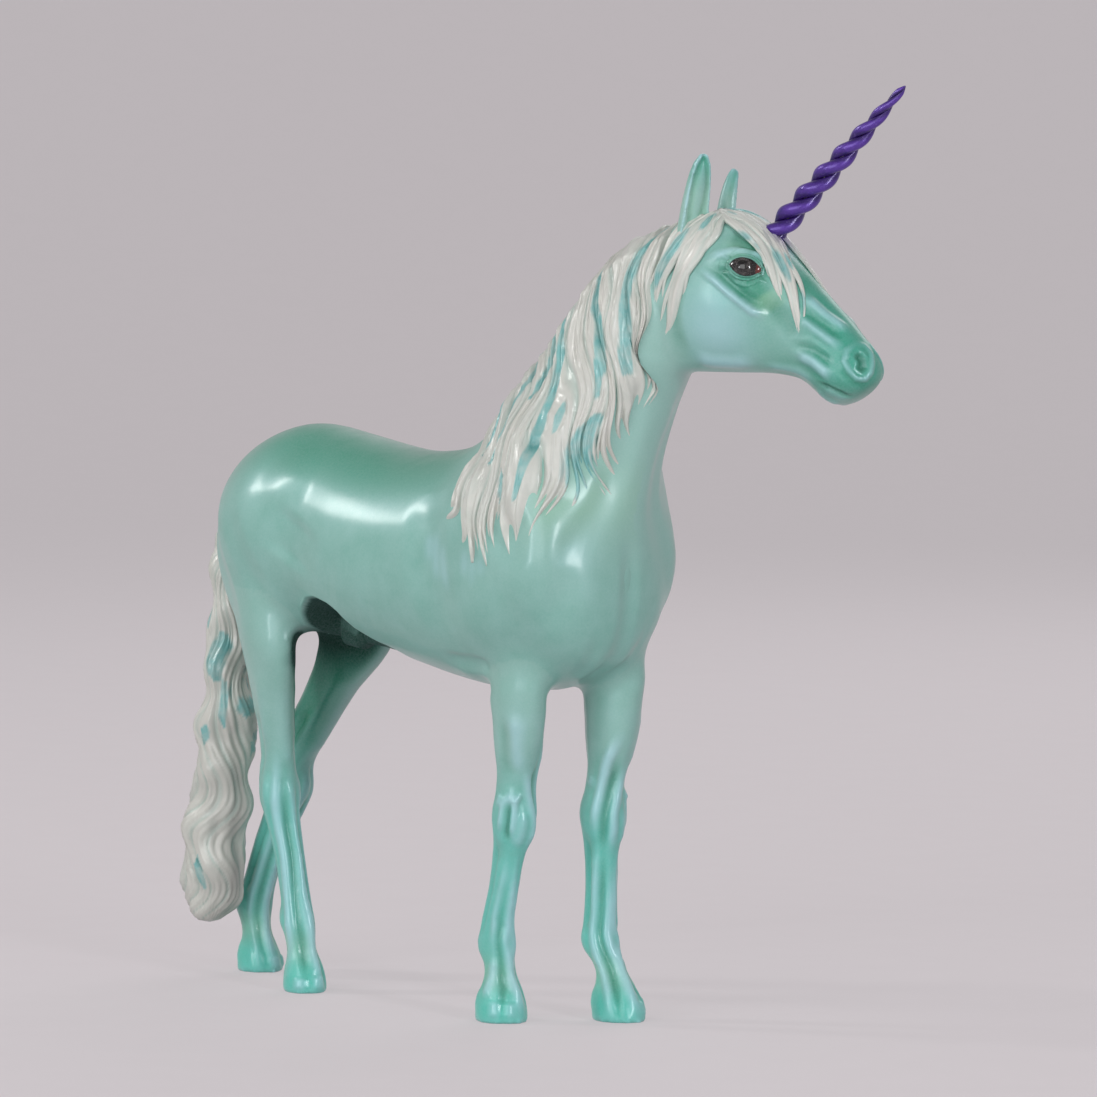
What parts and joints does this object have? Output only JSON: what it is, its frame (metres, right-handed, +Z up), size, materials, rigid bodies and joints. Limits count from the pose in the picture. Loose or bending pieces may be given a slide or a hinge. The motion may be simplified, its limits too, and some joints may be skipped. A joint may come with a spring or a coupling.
{
  "type": "unicorn figurine",
  "caption": "Standing unicorn figurine with a turned head, twisted horn, draped mane and long tail, painted in pearl mint; free-standing on its hooves.",
  "frame": {"origin": "on the floor, under the middle of the figurine's box", "axes": "+X the way the body faces, +Y the animal's left, +Z up"},
  "size_m": [0.0855, 0.0232, 0.0864],
  "materials": {
    "pearl_mint": "airbrushed pearl paint under satin lacquer",
    "hair_white": "hand-modelled putty, off-white with teal streaks, satin",
    "horn_purple": "metallic purple paint",
    "eye_gloss": "painted, clear gloss coat",
    "pin_wire": "plain drawn wire"
  },
  "bodies": {
    "root": {"body_right_shell": "pearl_mint", "body_left_shell": "pearl_mint", "head": "pearl_mint", "neck_dowel": "pin_wire", "right_ear": "pearl_mint", "left_ear": "pearl_mint", "right_eye": "eye_gloss", "left_eye": "eye_gloss", "right_foreleg": "pearl_mint", "left_foreleg": "pearl_mint", "right_hindleg": "pearl_mint", "left_hindleg": "pearl_mint", "leg_pins": "pin_wire", "horn_strand_a": "horn_purple", "horn_strand_b": "horn_purple", "horn_pin": "pin_wire", "mane_poll_locks": "hair_white", "mane_upper_locks": "hair_white", "mane_middle_locks": "hair_white", "mane_lower_locks": "hair_white", "forelock": "hair_white", "cheek_lock": "hair_white", "tail_hair": "hair_white", "tail_wire": "pin_wire"}
  },
  "joints": []
}
